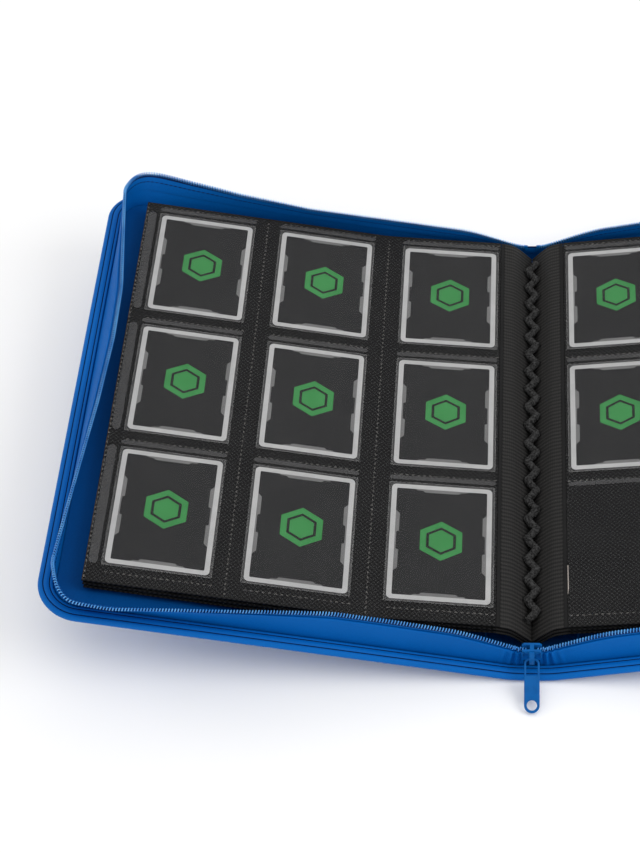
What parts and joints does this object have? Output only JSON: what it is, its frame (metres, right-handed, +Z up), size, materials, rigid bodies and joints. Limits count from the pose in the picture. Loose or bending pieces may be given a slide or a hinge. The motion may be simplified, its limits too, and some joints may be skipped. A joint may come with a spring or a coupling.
{
  "type": "trading card binder",
  "caption": "Zip-round trading card binder lying open: two padded covers on a soft spine, sewn-in pocket pages, sleeved cards, zip slider and pull.",
  "frame": {"origin": "centre of the flat underside of the spine", "axes": "+Z up from the table, +X towards the back cover's fore edge, +Y along the spine towards the end away from the zip slider"},
  "size_m": [0.5894, 0.3878, 0.0888],
  "materials": {
    "cover_fabric": "blue coated fabric, fine grain, satin",
    "edge_fabric": "blue coated fabric over padding, satin",
    "lining_fabric": "blue woven lining, matte",
    "gusset_fabric": "blue coated fabric, satin",
    "stiff_board": "grey board, matte",
    "spine_plastic": "flexible strip, matte",
    "binding_tape": "black woven tape, matte",
    "lacing_cord": "black textured cord, matte",
    "page_black": "black sheet with fine diagonal rib, satin",
    "pocket_film": "clear pocket film, glossy",
    "sleeve_film": "clear card sleeve, glossy",
    "card_print": "printed card, charcoal with a light border and a green hexagon",
    "zip_tape": "blue woven zip tape",
    "zip_coil": "blue moulded coil",
    "zip_metal": "blue enamelled zinc, glossy"
  },
  "bodies": {
    "spine": {"spine_skin": "cover_fabric", "spine_stiffener": "spine_plastic", "spine_lining": "lining_fabric", "spine_edge_band": "edge_fabric", "binding_strip": "binding_tape", "gutter_lacing": "lacing_cord", "front_crease": "cover_fabric", "back_crease": "cover_fabric", "zip_tape_stub": "zip_tape", "zip_bottom_stop": "zip_metal", "zip_top_stops": "zip_metal", "front_near_gore": "gusset_fabric", "front_far_gore": "gusset_fabric", "back_near_gore": "gusset_fabric", "back_far_gore": "gusset_fabric", "left_web_1": "page_black", "left_web_2": "page_black", "left_web_3": "page_black", "right_web_1": "page_black", "right_web_2": "page_black", "right_web_3": "page_black"},
    "front_cover": {"front_skin": "cover_fabric", "front_board": "stiff_board", "front_lining": "lining_fabric", "front_edge_band": "edge_fabric", "front_gusset_wall": "gusset_fabric", "front_zip_tape": "zip_tape", "front_zip_coil": "zip_coil"},
    "back_cover": {"back_skin": "cover_fabric", "back_board": "stiff_board", "back_lining": "lining_fabric", "back_edge_band": "edge_fabric", "back_gusset_wall": "gusset_fabric", "back_zip_tape": "zip_tape", "back_zip_coil": "zip_coil"},
    "left_hem_1": {"left_hem_1": "page_black"},
    "left_leaf_1": {"left_sheet_1": "page_black", "left_film_1": "pocket_film", "left_sleeves_1": "sleeve_film", "left_cards_1": "card_print"},
    "left_leaf_2": {"left_sheet_2": "page_black", "left_film_2": "pocket_film"},
    "left_leaf_3": {"left_sheet_3": "page_black", "left_film_3": "pocket_film"},
    "right_hem_1": {"right_hem_1": "page_black"},
    "right_leaf_1": {"right_sheet_1": "page_black", "right_film_1": "pocket_film", "right_sleeves_1": "sleeve_film", "right_cards_1": "card_print"},
    "right_leaf_2": {"right_sheet_2": "page_black", "right_film_2": "pocket_film"},
    "right_leaf_3": {"right_sheet_3": "page_black", "right_film_3": "pocket_film"},
    "zip_slider": {"zip_slider": "zip_metal"},
    "zip_pull": {"zip_pull": "zip_metal"}
  },
  "joints": [
    {"name": "front_cover_hinge", "type": "hinge", "parent": "spine", "child": "front_cover", "pos_m": [-0.03, 0, 0.00396], "axis": [0, -1, 0], "range_deg": [-77.6, 0], "deforming": ["front_crease", "front_near_gore", "front_far_gore"]},
    {"name": "left_leaf_1_swing", "type": "hinge", "parent": "spine", "child": "left_hem_1", "pos_m": [-0.02756, 0, 0.00993], "axis": [0, -1, 0], "range_deg": [-80, 0], "deforming": ["left_web_1"]},
    {"name": "left_leaf_2_swing", "type": "hinge", "parent": "spine", "child": "left_leaf_2", "pos_m": [-0.02756, 0, 0.00993], "axis": [0, -1, 0], "range_deg": [-80, 0], "deforming": ["left_web_2"]},
    {"name": "left_leaf_3_swing", "type": "hinge", "parent": "spine", "child": "left_leaf_3", "pos_m": [-0.02756, 0, 0.00993], "axis": [0, -1, 0], "range_deg": [-80, 0], "deforming": ["left_web_3"]},
    {"name": "left_page_turn", "type": "hinge", "parent": "left_hem_1", "child": "left_leaf_1", "pos_m": [-0.02135, 0, 0.03], "axis": [0, 1, 0], "range_deg": [0, 84]},
    {"name": "back_cover_hinge", "type": "hinge", "parent": "spine", "child": "back_cover", "pos_m": [0.03, 0, 0.00396], "axis": [0, 1, 0], "range_deg": [-77.6, 0], "deforming": ["back_crease", "back_near_gore", "back_far_gore"]},
    {"name": "right_leaf_1_swing", "type": "hinge", "parent": "spine", "child": "right_hem_1", "pos_m": [0.02756, 0, 0.00993], "axis": [0, 1, 0], "range_deg": [-80, 0], "deforming": ["right_web_1"]},
    {"name": "right_leaf_2_swing", "type": "hinge", "parent": "spine", "child": "right_leaf_2", "pos_m": [0.02756, 0, 0.00993], "axis": [0, 1, 0], "range_deg": [-80, 0], "deforming": ["right_web_2"]},
    {"name": "right_leaf_3_swing", "type": "hinge", "parent": "spine", "child": "right_leaf_3", "pos_m": [0.02756, 0, 0.00993], "axis": [0, 1, 0], "range_deg": [-80, 0], "deforming": ["right_web_3"]},
    {"name": "right_page_turn", "type": "hinge", "parent": "right_hem_1", "child": "right_leaf_1", "pos_m": [0.02135, 0, 0.03], "axis": [0, -1, 0], "range_deg": [0, 84]},
    {"name": "zip_slide", "type": "slide", "parent": "spine", "child": "zip_slider", "axis": [0, 0, 1], "range_m": [-0.006, 0]},
    {"name": "zip_pull_swing", "type": "hinge", "parent": "zip_slider", "child": "zip_pull", "pos_m": [0, -0.1761, 0.0153], "axis": [-1, 0, 0], "range_deg": [0, 114]}
  ],
  "couplings": [
    {"joint": "left_leaf_1_swing", "follows": "front_cover_hinge", "ratio": 1.02},
    {"joint": "left_leaf_2_swing", "follows": "front_cover_hinge", "ratio": 1.02},
    {"joint": "left_leaf_3_swing", "follows": "front_cover_hinge", "ratio": 1.02},
    {"joint": "right_leaf_1_swing", "follows": "back_cover_hinge", "ratio": 1.02},
    {"joint": "right_leaf_2_swing", "follows": "back_cover_hinge", "ratio": 1.02},
    {"joint": "right_leaf_3_swing", "follows": "back_cover_hinge", "ratio": 1.02}
  ]
}
